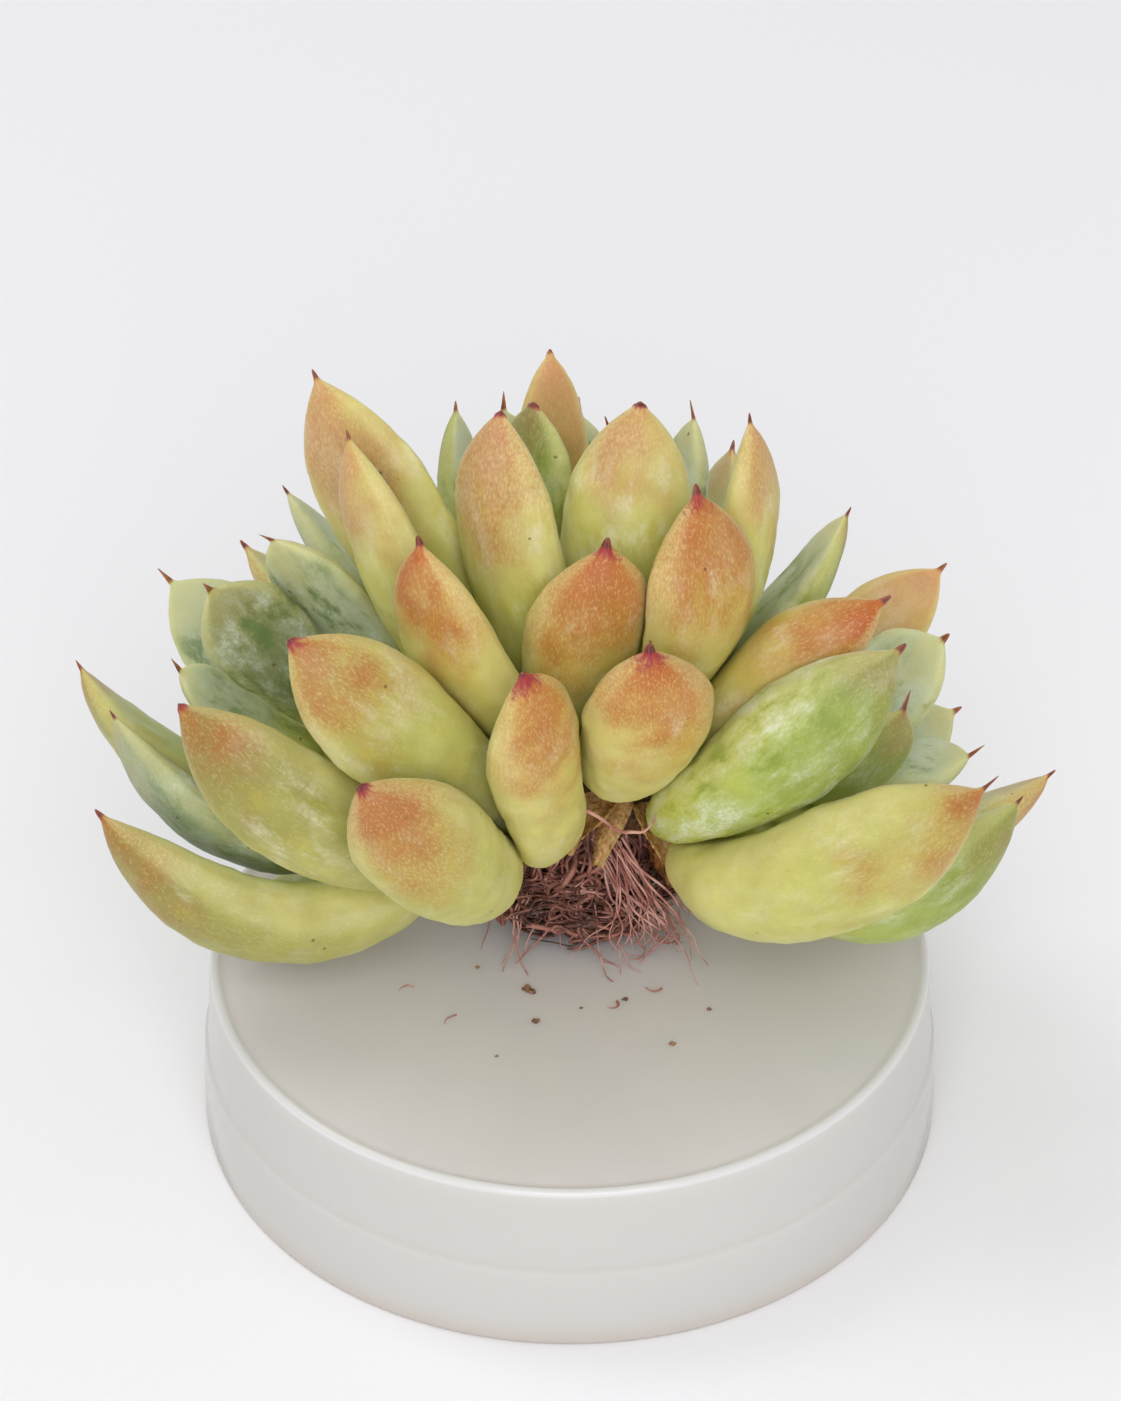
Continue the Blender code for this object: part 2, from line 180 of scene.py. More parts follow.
def softbox(name, place, size, power):
    """A square lamp that faces the plant. Place and size are in metres."""
    bpy.ops.object.light_add(type="AREA", location=place)
    lamp = bpy.context.object
    lamp.name = name
    lamp.data.size = size
    lamp.data.energy = power
    lamp.rotation_euler = (PLANT - Vector(place)).to_track_quat("-Z", "Y").to_euler()


softbox("overhead", (-0.50, 0.30, 1.0), 0.45, 2.0)
softbox("front", (0.05, -1.0, 0.72), 0.9, 7.6)
surround = bpy.data.worlds.new("tent")
bpy.context.scene.world = surround
surround.use_nodes = True
glow = surround.node_tree.nodes["Background"]
glow.inputs["Color"].default_value = (1.0, 1.0, 1.0, 1.0)
glow.inputs["Strength"].default_value = 0.62

# %% [markdown]
# ## A leaf's shape
#
# A leaf is a plump, pointed spoon. Its solid is right but faceted, and its triangles are loose.
# A merged copy is sorted into rings from foot to tip, the slanting edges are dissolved so that
# only squares stay, and Subdivision Surface rounds it. Subdivision shrinks a shape, so the cage
# is first pushed out until the smooth skin passes through the solid's own points.


# %% Copy and merge a solid
def merged_copy(node, name):
    """A copy of a solid with its loose triangles welded."""
    piece = bpy.data.objects.new(name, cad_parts[node].data.copy())
    bpy.context.collection.objects.link(piece)
    piece.data.materials.clear()
    only(piece)
    bpy.ops.mesh.customdata_custom_splitnormals_clear()
    bpy.ops.object.mode_set(mode="EDIT")
    bpy.ops.mesh.select_all(action="SELECT")
    bpy.ops.mesh.remove_doubles(threshold=0.001 * MM)
    bpy.ops.object.mode_set(mode="OBJECT")
    bpy.ops.object.shade_smooth()
    return piece


def places(mesh):
    """Every point of a mesh, one row each."""
    flat = np.zeros(len(mesh.vertices) * 3)
    mesh.vertices.foreach_get("co", flat)
    return flat.reshape(-1, 3)


# %% Apply and roughen
def apply_modifier(piece, kind, **settings):
    """Adds a modifier and applies it at once."""
    only(piece)
    bpy.ops.object.modifier_add(type=kind)
    modifier = piece.modifiers[-1]
    for name, value in settings.items():
        setattr(modifier, name, value)
    bpy.ops.object.modifier_apply(modifier=modifier.name)


def roughen(piece, size, depth, squash=(1, 1, 1), share=1.0):
    """Pushes a surface in and out along its normals by a soft noise. A share can fade it out."""
    mesh = piece.data
    spots = places(mesh)
    normals = np.array([v.normal for v in mesh.vertices])
    lumps = np.array([noise.fractal(Vector(p * squash) / size, 0.8, 2.1, 4) for p in spots])
    moved = spots + normals * (lumps * share)[:, None] * depth
    mesh.vertices.foreach_set("co", moved.ravel())
    mesh.update()


# %% Sort a leaf into rings
SIDES = 12  # points in a ring
HALF, QUARTER = SIDES // 2, SIDES // 4
BODY = slice(1, 7)  # the rings of the leaf's body, without its narrow foot and tip
stem_points = places(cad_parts["stem"].data)


def from_underside(spots, rings):
    """Turns every ring so that it starts in the middle of the underside, the fuller face."""
    body = spots[np.array(rings[BODY])]
    side = int(np.linalg.norm(body[:, :HALF] - body[:, HALF:], axis=2).sum(0).argmax())
    middle = (body[:, side] + body[:, side + HALF]) / 2
    faces = [(side + QUARTER) % SIDES, (side - QUARTER) % SIDES]
    under = max(faces, key=lambda k: np.linalg.norm(body[:, k] - middle, axis=1).sum())
    return [np.roll(ring, -under) for ring in rings]


def leaf_rings(mesh):
    """The foot of a leaf, its points as rings from foot to tip, and its tip."""
    spots = places(mesh)
    near = [set() for _ in spots]
    for edge in mesh.edges:
        a, b = edge.vertices
        near[a].add(b)
        near[b].add(a)
    poles = [i for i, others in enumerate(near) if len(others) == SIDES]
    poles.sort(key=lambda i: np.linalg.norm(stem_points - spots[i], axis=1).min())
    foot, tip = poles
    rings, seen, reached = [], {foot}, {foot}
    while True:
        reached = set().union(*(near[i] for i in reached)) - seen
        seen |= reached
        if reached == {tip}:
            break
        ring = [min(reached)]
        while len(ring) < len(reached):
            ring.append(min((near[ring[-1]] & reached) - set(ring)))
        if rings:
            last = spots[rings[-1]]
            turns = [np.roll(way, k) for way in (ring, ring[::-1]) for k in range(SIDES)]
            ring = min(turns, key=lambda turn: np.linalg.norm(spots[turn] - last, axis=1).sum())
        rings.append(np.array(ring))
    return foot, from_underside(spots, rings), tip


# %% Keep the squares
def edit_selected(piece, kind, wanted):
    """Opens a piece for editing with only the wanted edges or faces selected."""
    only(piece)
    mesh = piece.data
    bpy.context.tool_settings.mesh_select_mode = (False, kind == "edges", kind == "polygons")
    for part in (mesh.vertices, mesh.edges, mesh.polygons):
        part.foreach_set("select", [False] * len(part))
    parts = getattr(mesh, kind)
    parts.foreach_set("select", [bool(wanted(part)) for part in parts])
    bpy.ops.object.mode_set(mode="EDIT")


def dissolve_slanting_edges(piece, rings):
    """Dissolves the edges that cut each square of a leaf into two triangles."""
    spot_of = {int(i): (r, k) for r, ring in enumerate(rings) for k, i in enumerate(ring)}

    def slants(edge):
        first, second = (spot_of.get(i) for i in edge.vertices)
        return first and second and first[0] != second[0] and first[1] != second[1]

    edit_selected(piece, "edges", slants)
    bpy.ops.mesh.dissolve_edges(use_verts=False)
    bpy.ops.object.mode_set(mode="OBJECT")


# %% Sharpen the margins
def sharpen_margins(piece, rings, sharpness=0.55):
    """Creases the two margins of a leaf, where its round underside meets its flat face."""
    margins = {int(ring[k]): k for ring in rings[2:] for k in (QUARTER, -QUARTER)}

    def on_margin(edge):
        first, second = (margins.get(i) for i in edge.vertices)
        return first is not None and first == second

    edit_selected(piece, "edges", on_margin)
    bpy.ops.transform.edge_crease(value=sharpness)
    bpy.ops.object.mode_set(mode="OBJECT")


# %% Push out the cage
def push_out_cage(piece, share=0.9, rounds=4):
    """Moves the points of a cage until the smooth skin over it passes through where they were."""
    wanted = places(piece.data)
    smooth = piece.modifiers.new("smooth", "SUBSURF")
    smooth.levels = smooth.render_levels = 1
    for _ in range(rounds):
        graph = bpy.context.evaluated_depsgraph_get()
        skin = places(piece.evaluated_get(graph).data)[: len(wanted)]
        cage = places(piece.data) + share * (wanted - skin)
        piece.data.vertices.foreach_set("co", cage.ravel())
        piece.data.update()
        bpy.context.view_layer.update()
    piece.modifiers.remove(smooth)


# %% [markdown]
# ## The tip of a leaf
#
# Each leaf ends in a small hard point, the mucro. On outer leaves it is a dry stub or has broken
# off to a scar, and on young leaves it is a thin needle. It is drawn out of the leaf's own tip:
# the last fan of faces is inset, drawn in to a small ring, and extruded twice.

# %% Draw out the tip
# radius, rise of the first and second step in millimetres, and what each step narrows to
TIPS = {
    "stub": (0.72, 0.50, 0.42, 0.72, 0.62),
    "needle": (0.42, 0.80, 1.10, 0.60, 0.30),
    "scar": (0.95, 0.20, -0.15, 0.86, 0.55),
    "blunt": (0.80, 0.20, 0.16, 0.85, 0.60),
    "bud": (0.50, 0.45, 0.45, 0.72, 0.50),
}


def draw_out_tip(piece, tip, direction, kind, curl):
    """Turns the fan of faces round the tip into the leaf's hard point, and says where it ends."""
    radius, first, second, narrow, narrower = TIPS[kind]
    mesh = piece.data
    middle = mesh.vertices[tip].co.copy()
    edit_selected(piece, "polygons", lambda face: tip in face.vertices)
    bpy.ops.mesh.inset(thickness=0.12 * MM)
    bpy.ops.object.mode_set(mode="OBJECT")
    reach = [(v.co - middle).length for v in mesh.vertices if v.select and v.index != tip]
    bpy.ops.object.mode_set(mode="EDIT")
    size = radius * MM / (sum(reach) / len(reach))
    bpy.ops.transform.resize(value=(size,) * 3, center_override=middle)
    for step, shrink in ((first, narrow), (second, narrower)):
        move = (direction + curl) * step * MM
        bpy.ops.mesh.extrude_region_move(TRANSFORM_OT_translate={"value": move})
        middle += move
        bpy.ops.transform.resize(value=(shrink,) * 3, center_override=middle)
    bpy.ops.object.mode_set(mode="OBJECT")
    return middle


# %% [markdown]
# ## The colour of a leaf
#
# Sunlight turns the upper part of a leaf from lime through tan to orange, and shade keeps its
# foot pale. The young inner faces are grey-green under their wax. These slow changes follow the
# leaf, so they are painted on its points from where each point lies: how far up the leaf, and
# whether on the rounded underside, the margin or the flat inner face. The shader then adds all
# that is finer than the mesh.

# %% Paint cards
# the foot, middle, shoulder and top of a leaf
# Besides each leaf's own pale foot, the feet are painted brighter and the middles darker: painted
# light that evens out the shade between the leaves.
CARDS = {
    "tan": ("ECE896", "C6C46E", "C0A458", "B87C42"),
    "straw": ("D6D284", "A29E50", "A28A44", "AA7C38"),
    "orange": ("ECE894", "DACE78", "C8944C", "BC662A"),
    "peach": ("E0DE6C", "D6D27E", "D0AC6E", "D2A478"),
    "amber": ("D0C460", "D2B866", "D4AE6C", "D8A874"),
    "lime": ("E0DC94", "B8B86A", "AEAA60", "B09456"),
    "green": ("C6CC54", "B0BE60", "98A64C", "A09054"),
    "grey": ("C4CC64", "BAC898", "C4D0B2", "CACA9C"),
    "slate": ("A4AC60", "8E9C76", "90A080", "B4B48A"),
}
# The inner faces are likewise painted brighter than they are: painted light in the shade between
# the leaves.
INNER_CARDS = {
    "warm": ("C8CE62", "BECA8A", "C6CA90", "CCAC7A"),
    "cool": ("CCD46A", "C2D0A4", "C8D4B4", "D2D2A0"),
    "slate": ("A8B05A", "96A278", "9AA272", "B0AC78"),
    "amber": ("CEC45C", "D2B864", "D6B070", "D6A474"),
}
INNER_OF_CARD = {"grey": "cool", "green": "cool", "slate": "slate", "amber": "amber"}


def run_through(card, along, stops):
    """The colours of a card, laid out along the leaf at the given stops."""
    colours = np.array([tint(code)[:3] for code in card])
    return np.stack([np.interp(along, stops, colours[:, i]) for i in range(3)], 1)


def ease(value, low, high):
    """Runs smoothly from 0 to 1 while value goes from low to high, as a column."""
    share = np.clip((value - low) / (high - low), 0, 1)
    return (share * share * (3 - 2 * share))[:, None]


# %% Values on a mesh
def values_of(mesh, name):
    """Reads one value for every point of a mesh."""
    found = np.zeros(len(mesh.vertices))
    mesh.attributes[name].data.foreach_get("value", found)
    return found


def store(mesh, name, values, kind="FLOAT"):
    """Writes one value, or one colour, to every point of a mesh."""
    if name in mesh.attributes:
        mesh.attributes.remove(mesh.attributes[name])
    layer = mesh.attributes.new(name, kind, "POINT")
    key = {"FLOAT": "value", "FLOAT_VECTOR": "vector", "FLOAT_COLOR": "color"}[kind]
    layer.data.foreach_set(key, np.asarray(values, np.float32).ravel())


# %% Paint one leaf
DRIFT, PATCHES = 150, 260  # lumps to the metre, in the colours' drift and in the bloom
# the margins' own paler rim, together with painted light: a glow as if light shone through the thin
# edge
PALE_MARGIN_AND_GLOW = np.array(tint("E2DC9C")[:3])


def paint_leaf(mesh, card, blush_from, strength, bloom, apex, direction, reach, stub, seed):
    """Paints a leaf's slow colours, and where its blush, bloom and red tip lie."""
    spots = places(mesh)
    along, under, side = (values_of(mesh, name) for name in ("along", "under", "side"))
    drift_start, patch_start = Vector((seed, 0, 0)), Vector((0, seed, 0))
    drift = [noise.fractal(Vector(p) * DRIFT + drift_start, 0.7, 2.2, 3) for p in spots]
    patch = np.array([noise.noise(Vector(p) * PATCHES + patch_start) for p in spots])
    height = along + 0.16 * np.array(drift) - 0.10 * side**2
    stops = (0.10, blush_from - 0.06, (2 * blush_from + 1) / 3 + 0.04, 0.98)
    outer = run_through(CARDS[card], height, stops)
    inner = run_through(INNER_CARDS[INNER_OF_CARD.get(card, "warm")], height, stops)
    flat = ease(-under, 0.0, 0.55)
    colour = outer * (1 - flat) + inner * flat
    # painted light: the margin is lit up as if light shone through it, over its own pale rim
    margin = ease(np.abs(side), 0.62, 1.0) * ease(along, 0.1, 0.4) * 0.45
    colour = colour * (1 - margin) + PALE_MARGIN_AND_GLOW * margin
    flat = flat[:, 0]
    blush = ease(height, blush_from - 0.10, blush_from + 0.30)[:, 0] * strength * (1 - 0.75 * flat)
    store(mesh, "skin", np.hstack([colour, np.ones((len(colour), 1))]), "FLOAT_COLOR")
    store(mesh, "blush", blush)
    worn = 1 - 0.8 * ease(along, 0.74, 0.92)[:, 0]
    store(mesh, "bloom", np.clip(bloom * worn * (0.68 + 1.2 * patch + 0.5 * flat), 0, 1))
    rise = (spots - apex) @ np.array(direction) / MM
    store(mesh, "tip", np.clip(rise / reach + 1, 0, 1))
    store(mesh, "stub", ease(rise, -stub - 0.35, -stub + 0.1)[:, 0])


# %% [markdown]
# ## The skin of a leaf
#
# Under a lens the skin is a mosaic of cells a fifth of a millimetre wide, drawn out along the
# leaf. Where the sun has reached it they fill with red one by one, so the blush is grainy. A
# pale bloom lies over it in rubbed patches, a few dark pits mark it, and the tip is crimson.
# Light enters the watery flesh, so the shader has some subsurface scattering.


# %% Leaf skin
SPECK, PIT, CRIMSON = tint("EADF9A"), tint("6B4A2C"), tint("9A2238")


def leaf_skin(name, grain, rubbed, powdery, rub, rough, flesh):
    """The waxy skin of one family of leaves.

    Takes its three colours, how far it is rubbed, how rough it is and how much flesh shows.
    """
    material, tree, shader = new_finish(name)
    place = stored(tree, "grain").outputs["Vector"]
    blush = stored(tree, "blush").outputs["Fac"]
    bloom = stored(tree, "bloom").outputs["Fac"]
    colour = stored(tree, "skin").outputs["Color"]
    cells = speckle(tree, stretched(tree, place, (1.0, 0.36, 1.0)), 5400, 2.5, 0.6)
    clouds = speckle(tree, place, 420, 3.0)
    shade = blend(tree, clouds, tint("E4E2D6"), tint("FFFFFF"))
    colour = blend(tree, 1.0, colour, shade, "MULTIPLY")
    sunned = between(tree, blush, 0.03, 0.9, 0.0, 0.38)
    colour = blend(tree, times(tree, between(tree, cells, 0.46, 0.66), sunned), colour, tint(grain))
    specks = between(tree, blush, 0.0, 0.6, 0.14, 0.24)
    colour = blend(tree, times(tree, between(tree, cells, 0.48, 0.34), specks), colour, SPECK)
    waxy = speckle(tree, stretched(tree, place, (1.0, 0.42, 1.0)), 380, 7.0, 0.70)
    powder = speckle(tree, place, 2600, 2.0)
    bare = times(tree, between(tree, waxy, 0.50, 0.36), between(tree, bloom, 0.1, 0.8, 0.0, rub))
    colour = blend(tree, bare, colour, tint(rubbed))
    wax = times(tree, between(tree, waxy, 0.45, 0.66), bloom)
    dusty = times(tree, wax, between(tree, powder, 0.3, 0.6, 0.35, 0.8))
    colour = blend(tree, dusty, colour, tint(powdery))
    dots = wire(tree, "TexVoronoi", {"Vector": place, "Scale": 420.0}).outputs["Distance"]
    few = between(tree, speckle(tree, place, 170), 0.56, 0.60)
    pits = times(tree, times(tree, between(tree, dots, 0.095, 0.05), few), 0.75)
    colour = blend(tree, pits, colour, PIT)
    tip = stored(tree, "tip").outputs["Fac"]
    fringe = speckle(tree, stretched(tree, place, (1.0, 0.25, 1.0)), 2600, 2.0)
    wet = wire(tree, "Math", {0: tip, 1: fringe}, operation="ADD").outputs[0]
    colour = blend(tree, between(tree, wet, 0.68, 1.12, 0.0, 0.88), colour, CRIMSON)
    dark = blend(tree, between(tree, powder, 0.35, 0.65), tint("38141A"), tint("863C42"))
    colour = blend(tree, stored(tree, "stub").outputs["Fac"], colour, dark)
    join(tree, colour, shader, "Base Color")
    join(tree, between(tree, wax, 0.0, 0.7, rough, rough + 0.22), shader, "Roughness")
    join(tree, bumps(tree, blend(tree, 0.35, cells, clouds), 0.07 * MM, 0.75), shader, "Normal")
    shader.inputs["Subsurface Weight"].default_value = flesh
    shader.inputs["Subsurface Radius"].default_value = (1.0, 0.85, 0.30)
    shader.inputs["Subsurface Scale"].default_value = 3.0 * MM
    shader.inputs["Specular IOR Level"].default_value = 0.42
    return material


skins = {
    "blush": leaf_skin("blushed_skin", "B8641E", "C2B048", "EAE4CC", 0.5, 0.44, 0.60),
    "green": leaf_skin("green_skin", "7C8A30", "7F9428", "DEE4CC", 0.7, 0.47, 0.55),
    "glaucous": leaf_skin("grey_green_skin", "6F8A62", "6C8650", "D6E0D2", 0.8, 0.52, 0.50),
}

# %% [markdown]
# ## All the leaves
#
# Every leaf is its own piece, because each one has its own size, curl and colour. The table
# gives its paint card, how far up it the blush starts and how strong it is, how much bloom it
# has, and what its tip is like.

# %% Leaf table
LEAVES = {
    "left_leaf_01": ("straw", 0.72, 0.9, 0.35, "stub", 1.2),
    "left_leaf_02": ("lime", 0.70, 0.2, 0.3, "stub", 1.0),
    "left_leaf_03": ("straw", 0.74, 0.9, 0.5, "scar", 1.2),
    "left_leaf_04": ("tan", 0.68, 1.0, 0.5, "scar", 1.6),
    "left_leaf_05": ("tan", 0.66, 1.0, 0.3, "scar", 1.0),
    "left_leaf_06": ("slate", 0.50, 0.2, 0.9, "needle", 1.0),
    "left_leaf_07": ("grey", 0.50, 0.1, 1.0, "needle", 1.0),
    "left_leaf_08": ("grey", 0.50, 0.1, 0.5, "needle", 0.8),
    "left_leaf_09": ("lime", 0.60, 0.4, 0.4, "bud", 1.0),
    "left_leaf_10": ("slate", 0.50, 0.1, 0.9, "bud", 0.7),
    "left_leaf_11": ("grey", 0.50, 0.1, 0.5, "needle", 0.9),
    "left_leaf_12": ("green", 0.50, 0.2, 0.5, "bud", 0.9),
    "left_leaf_13": ("orange", 0.62, 1.0, 0.40, "blunt", 2.8),
    "centre_leaf_01": ("orange", 0.58, 1.0, 0.35, "stub", 2.4),
    "centre_leaf_02": ("green", 0.60, 0.2, 0.6, "bud", 0.6),
    "centre_leaf_03": ("orange", 0.52, 1.0, 0.55, "stub", 1.8),
    "centre_leaf_04": ("orange", 0.54, 1.0, 0.45, "stub", 2.4),
    "centre_leaf_05": ("peach", 0.72, 0.8, 1.0, "scar", 0.7),
    "centre_leaf_06": ("peach", 0.58, 1.0, 0.6, "scar", 0.7),
    "centre_leaf_07": ("peach", 0.68, 0.7, 0.6, "bud", 0.8),
    "centre_leaf_08": ("green", 0.60, 0.4, 1.0, "scar", 0.7),
    "centre_leaf_09": ("amber", 0.45, 0.8, 0.3, "blunt", 0.6),
    "centre_leaf_10": ("grey", 0.50, 0.2, 0.7, "needle", 0.9),
    "centre_leaf_11": ("grey", 0.50, 0.2, 0.5, "needle", 1.0),
    "centre_leaf_12": ("orange", 0.70, 0.9, 0.4, "stub", 1.2),
    "centre_leaf_13": ("peach", 0.72, 0.7, 0.4, "bud", 0.9),
    "centre_leaf_14": ("peach", 0.66, 0.7, 0.5, "bud", 0.9),
    "centre_leaf_15": ("grey", 0.50, 0.1, 0.9, "bud", 0.8),
    "right_leaf_01": ("orange", 0.58, 0.8, 0.7, "stub", 0.9),
    "right_leaf_02": ("green", 0.60, 0.3, 1.0, "stub", 1.0),
    "right_leaf_03": ("tan", 0.72, 0.9, 0.35, "needle", 1.0),
    "right_leaf_04": ("green", 0.60, 0.2, 0.5, "bud", 0.8),
    "right_leaf_05": ("tan", 0.60, 0.7, 0.3, "bud", 0.9),
    "right_leaf_06": ("green", 0.50, 0.2, 0.4, "needle", 1.1),
    "right_leaf_07": ("grey", 0.50, 0.1, 0.6, "bud", 0.8),
    "right_leaf_08": ("grey", 0.50, 0.1, 0.5, "needle", 0.9),
    "right_leaf_09": ("amber", 0.60, 0.5, 0.3, "bud", 0.8),
    "right_leaf_10": ("green", 0.60, 0.2, 0.4, "bud", 0.8),
    "rear_leaf_01": ("green", 0.60, 0.3, 0.6, "bud", 0.8),
    "rear_leaf_02": ("peach", 0.55, 0.8, 0.4, "bud", 1.2),
    "rear_leaf_03": ("grey", 0.60, 0.1, 0.7, "bud", 0.8),
    "rear_leaf_04": ("tan", 0.68, 0.9, 0.4, "stub", 0.9),
    "rear_leaf_05": ("peach", 0.64, 0.9, 0.4, "stub", 1.4),
    "rear_leaf_06": ("tan", 0.68, 0.9, 0.4, "stub", 1.2),
    "rear_leaf_07": ("orange", 0.60, 0.9, 0.5, "stub", 1.6),
    "rear_leaf_08": ("tan", 0.70, 0.8, 0.4, "bud", 1.0),
    "rear_leaf_09": ("green", 0.55, 0.3, 0.7, "bud", 0.8),
    "rear_leaf_10": ("grey", 0.50, 0.1, 0.8, "needle", 0.9),
    "rear_leaf_11": ("green", 0.50, 0.2, 0.6, "bud", 0.8),
    "rear_leaf_12": ("grey", 0.50, 0.1, 0.6, "needle", 0.9),
}
SLOT_OF_CARD = {"green": "green", "grey": "glaucous", "slate": "glaucous"}


# %% Mark where each point lies
TURN = np.arange(SIDES) * math.tau / SIDES


def mark_leaf(mesh, foot, rings, tip, seed):
    """Stores how far along, under and to the side each point of a leaf lies.

    Grain is the same place laid out straight, so that the cells of the skin follow the leaf.
    Gives back the middles of the rings.
    """
    spots = places(mesh)
    middles = [spots[foot], *(spots[ring].mean(0) for ring in rings), spots[tip]]
    steps = np.cumsum([0, *(np.linalg.norm(b - a) for a, b in zip(middles, middles[1:]))])
    along, under, side = np.zeros((3, len(spots)))
    grain = np.zeros((len(spots), 3))
    along[tip], grain[tip, 1] = 1, steps[-1]
    for ring, step in zip(rings, steps[1:]):
        width = np.linalg.norm(spots[ring[QUARTER]] - spots[ring[-QUARTER]]) / 2
        depth = np.linalg.norm(spots[ring[0]] - spots[ring[HALF]]) / 2
        along[ring], under[ring], side[ring] = step / steps[-1], np.cos(TURN), np.sin(TURN)
        lengths = np.full(SIDES, step)
        grain[ring] = np.stack([width * np.sin(TURN), lengths, depth * np.cos(TURN)], 1)
    for name, values in (("along", along), ("under", under), ("side", side)):
        store(mesh, name, values)
    store(mesh, "grain", grain + np.array((seed, seed * 0.7, 0)) * MM * 10, "FLOAT_VECTOR")
    return middles


# %% Make the leaves
SHOULDER = 6  # the ring across which a leaf's inward side is found
NEEDLE_CURL = 0.35  # how far a needle leans inward for each step it rises
LEAST_STUB = 0.35  # how far down from its end a tip is dark, at least, in millimetres


def make_leaf(node, card, blush_from, strength, bloom, tip_kind, reach):
    """One leaf: rounded, tipped, painted and waxed."""
    piece = merged_copy(node, node + "_skin")
    mesh = piece.data
    seed = sum(map(ord, node)) % 97 * 3.7
    foot, rings, tip = leaf_rings(mesh)
    spots = places(mesh)
    middles = mark_leaf(mesh, foot, rings, tip, seed)
    dissolve_slanting_edges(piece, rings)
    sharpen_margins(piece, rings)
    push_out_cage(piece)
    direction = Vector(middles[-1] - middles[-4]).normalized()
    shoulder = rings[SHOULDER]
    inward = Vector(spots[shoulder[HALF]] - spots[shoulder[0]]).normalized()
    curl = inward * (NEEDLE_CURL if tip_kind == "needle" else 0.0)
    apex = np.array(draw_out_tip(piece, tip, direction, tip_kind, curl))
    stub = max(LEAST_STUB, TIPS[tip_kind][1] + TIPS[tip_kind][2])
    apply_modifier(piece, "SUBSURF", levels=3, render_levels=3)
    body = 1 - ease(values_of(mesh, "along"), 0.72, 0.95)[:, 0]
    roughen(piece, 14 * MM, 0.45 * MM, share=body)
    roughen(piece, 6 * MM, 0.16 * MM, share=body)
    roughen(piece, 1.6 * MM, 0.03 * MM)
    reach += stub
    paint_leaf(mesh, card, blush_from, strength, bloom, apex, direction, reach, stub, seed)
    slot = SLOT_OF_CARD.get(card, "blush")
    mesh.materials.append(skins[slot])
    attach(piece, "root")
    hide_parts(node)
    return piece


leaves = [make_leaf(node, *look) for node, look in LEAVES.items()]
print("leaves:", len(leaves), "faces in one:", len(leaves[0].data.polygons))

# %% [markdown]
# ## The stem
#
# The short stem is old brown wood, ringed by the scars of lost leaves. The solid is welded,
# rounded once, and pushed in and out by a noise that runs round it.


# %% Bark
bark, tree, shader = new_finish("stem_bark")
place = object_place(tree)
rings_of_bark = speckle(tree, stretched(tree, place, (1.0, 1.0, 3.0)), 700, 6.0, 0.65)
fibres = speckle(tree, stretched(tree, place, (1.0, 1.0, 0.2)), 3800, 3.0)
colour = blend(tree, between(tree, rings_of_bark, 0.35, 0.65), tint("3A2012"), tint("865E36"))
colour = blend(tree, between(tree, fibres, 0.45, 0.75, 0.0, 0.4), colour, tint("A88454"))
join(tree, colour, shader, "Base Color")
shader.inputs["Roughness"].default_value = 0.75
join(tree, bumps(tree, blend(tree, 0.5, rings_of_bark, fibres), 0.25 * MM, 0.9), shader, "Normal")

stem = merged_copy("stem", "stem_bark")
apply_modifier(stem, "SUBSURF", levels=2, render_levels=2)
roughen(stem, 1.1 * MM, 0.30 * MM, np.array((1, 1, 2.2)))
stem.data.materials.append(bark)
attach(stem, "root")
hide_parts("stem")
print("stem:", len(stem.data.polygons), "faces")

# %% [markdown]
# ## Scraps of old leaf
#
# Dry, papery feet of lost leaves still cling to the front of the stem, where it can be seen
# between the fat leaves. Each is a small grid laid along a short arc, curled across its width
# and thickened, because paper has two sides and a torn edge.

# %% Scraps of old leaf on the stem
paper_skin, tree, shader = new_finish("old_leaf_paper")
place = object_place(tree)
fibre = speckle(tree, stretched(tree, place, (2.5, 2.5, 0.7)), 1100, 5.0, 0.65)
colour = blend(tree, between(tree, fibre, 0.30, 0.70), tint("8A5A2A"), tint("CBA468"))
join(tree, colour, shader, "Base Color")
join(tree, bumps(tree, fibre, 0.2 * MM), shader, "Normal")
shader.inputs["Roughness"].default_value = 0.55
shader.inputs["Subsurface Weight"].default_value = 0.3
shader.inputs["Subsurface Scale"].default_value = 0.8 * MM

# %% Make the scraps
# where each scrap leaves the stem, where it ends, its width and how far its sides curl
SCRAPS = (
    ((4.6, 0.6, 38.0), (-0.2, -3.0, 33.4), 4.4, 1.1),
    ((5.4, 1.0, 37.6), (2.6, -3.0, 32.0), 3.0, -0.8),
    ((7.0, 1.6, 36.4), (9.6, -1.8, 31.2), 3.6, 0.9),
    ((-1.4, 1.8, 34.0), (-3.4, -1.2, 30.2), 3.0, 0.7),
    ((1.0, 9.2, 35.0), (-1.0, 13.4, 31.0), 3.6, 0.9),
)


def scrap(first, last, width, curl):
    """A curled strip of dry leaf, widest in its middle and ragged at its end."""
    bpy.ops.object.select_all(action="DESELECT")
    bpy.ops.mesh.primitive_grid_add(x_subdivisions=9, y_subdivisions=5, size=2)
    piece = bpy.context.object
    first, last = Vector(first) * MM, Vector(last) * MM
    run = (last - first).normalized()
    side = run.cross(Vector((0, 0, 1))).normalized()
    lift = side.cross(run)
    for vert in piece.data.vertices:
        u, v = (vert.co.x + 1) / 2, vert.co.y
        ragged = 0.9 * noise.noise(Vector((3.1 * v, last.x / MM, 0))) * u
        spread = width * MM / 2 * (0.45 + 0.55 * math.sin(math.pi * min(u + 0.15, 1)))
        arch = (curl * v * v + 0.9 * math.sin(math.pi * u)) * MM
        vert.co = first.lerp(last, u + 0.12 * ragged) + side * v * spread + lift * arch
    apply_modifier(piece, "SOLIDIFY", thickness=0.22 * MM, offset=0)
    apply_modifier(piece, "SUBSURF", levels=2, render_levels=2)
    roughen(piece, 1.3 * MM, 0.28 * MM)
    bpy.ops.object.shade_smooth()
    return piece


